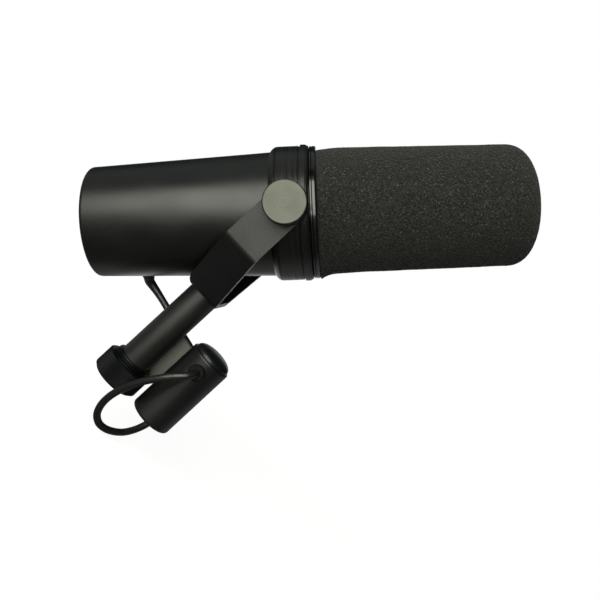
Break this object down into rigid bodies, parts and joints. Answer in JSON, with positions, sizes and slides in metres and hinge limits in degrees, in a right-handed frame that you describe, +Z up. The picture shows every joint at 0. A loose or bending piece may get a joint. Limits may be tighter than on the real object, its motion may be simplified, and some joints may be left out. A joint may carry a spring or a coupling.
{
  "type": "microphone",
  "caption": "Black end-address dynamic broadcast microphone with foam windscreen on a tilting yoke mount, with stand nut, plug connector and looped cable",
  "frame": {"origin": "Centre of the stand nut's mouth, where a stand's thread enters", "axes": "+Z up along the post, +Y away from the viewer along the tilt pivot, +X to the side with the connector"},
  "size_m": [0.1538, 0.096, 0.2141],
  "materials": {
    "barrel_black": "satin black paint",
    "collar_black": "satin black with fine turned lines",
    "ring_gloss": "gloss black",
    "foam_grey": "open-cell dark grey foam",
    "foam_inner": "open-cell foam",
    "cage_paint": "black painted steel",
    "knob_metal": "satin, knurled rim",
    "yoke_paint": "satin grey-black paint",
    "post_black": "satin black paint",
    "nut_black": "black, diamond knurl",
    "connector_black": "smooth soft-sheen black",
    "bracket_grey": "satin dark grey",
    "brass": "plain brass",
    "steel": "plain steel",
    "rubber": "matt black rubber",
    "cable_rubber": "black rubber, soft sheen",
    "plastic": "black moulded plastic",
    "slider_white": "off-white moulded plastic",
    "board_green": "green circuit board",
    "transformer_iron": "varnished laminations",
    "magnet_iron": "plain",
    "copper": "enamelled copper wire",
    "film": "thin plastic film",
    "wire_red": "red insulation",
    "wire_white": "white insulation"
  },
  "bodies": {
    "mount": {"yoke": "yoke_paint", "post": "post_black", "post_screw": "steel", "nut_retainer": "steel", "connector_bracket": "bracket_grey", "bracket_screws": "steel", "connector_shell": "connector_black", "connector_cap": "connector_black", "connector_insert": "plastic", "contact_pins": "brass", "insert_screw": "steel", "connector_grommet": "rubber", "cable": "cable_rubber"},
    "microphone": {"barrel": "barrel_black", "rear_plate": "barrel_black", "rear_plate_screws": "steel", "board_standoffs": "brass", "board_screws": "steel", "circuit_board": "board_green", "board_parts": "plastic", "transformer": "transformer_iron", "switch_bodies": "plastic", "collar": "collar_black", "front_ring": "ring_gloss", "cartridge_carrier": "plastic", "shock_mounts": "rubber", "cartridge_housing": "steel", "magnet_cup": "steel", "magnet": "magnet_iron", "pole_piece": "steel", "voice_coil": "copper", "diaphragm": "film", "cartridge_cap": "steel", "cartridge_leads": "wire_red", "output_leads": "wire_white", "cable_gland": "rubber", "grille_cage": "cage_paint", "foam_liner": "foam_inner", "pivot_studs": "steel", "friction_washers": "rubber", "inner_washers": "brass", "pivot_sleeves": "brass", "outer_washers": "brass", "lock_washers": "steel", "fitted_washers": "plastic"},
    "windscreen": {"windscreen": "foam_grey"},
    "near_knob": {"near_knob": "knob_metal"},
    "far_knob": {"far_knob": "knob_metal"},
    "stand_nut": {"stand_nut": "nut_black"},
    "bass_slider": {"bass_slider": "slider_white"},
    "presence_slider": {"presence_slider": "slider_white"}
  },
  "joints": [
    {"name": "mic_tilt", "type": "hinge", "parent": "mount", "child": "microphone", "pos_m": [0, 0, 0.1056], "axis": [0, 1, 0], "range_deg": [0, 85], "deforming": ["cable"]},
    {"name": "stand_nut_turn", "type": "hinge", "parent": "mount", "child": "stand_nut", "pos_m": [0, 0, 0], "axis": [0, 0, 1], "continuous": true},
    {"name": "near_knob_turn", "type": "hinge", "parent": "microphone", "child": "near_knob", "pos_m": [0, 0, 0.1056], "axis": [0, -1, 0], "range_deg": [0, 360]},
    {"name": "far_knob_turn", "type": "hinge", "parent": "microphone", "child": "far_knob", "pos_m": [0, 0, 0.1056], "axis": [0, 1, 0], "range_deg": [0, 360]},
    {"name": "bass_switch", "type": "slide", "parent": "microphone", "child": "bass_slider", "axis": [0, 1, 0], "range_m": [0, 0.0046]},
    {"name": "presence_switch", "type": "slide", "parent": "microphone", "child": "presence_slider", "axis": [0, 1, 0], "range_m": [0, 0.0046]},
    {"name": "windscreen_pull", "type": "slide", "parent": "microphone", "child": "windscreen", "axis": [0.6461, 0, 0.7632], "range_m": [0, 0.1]}
  ]
}
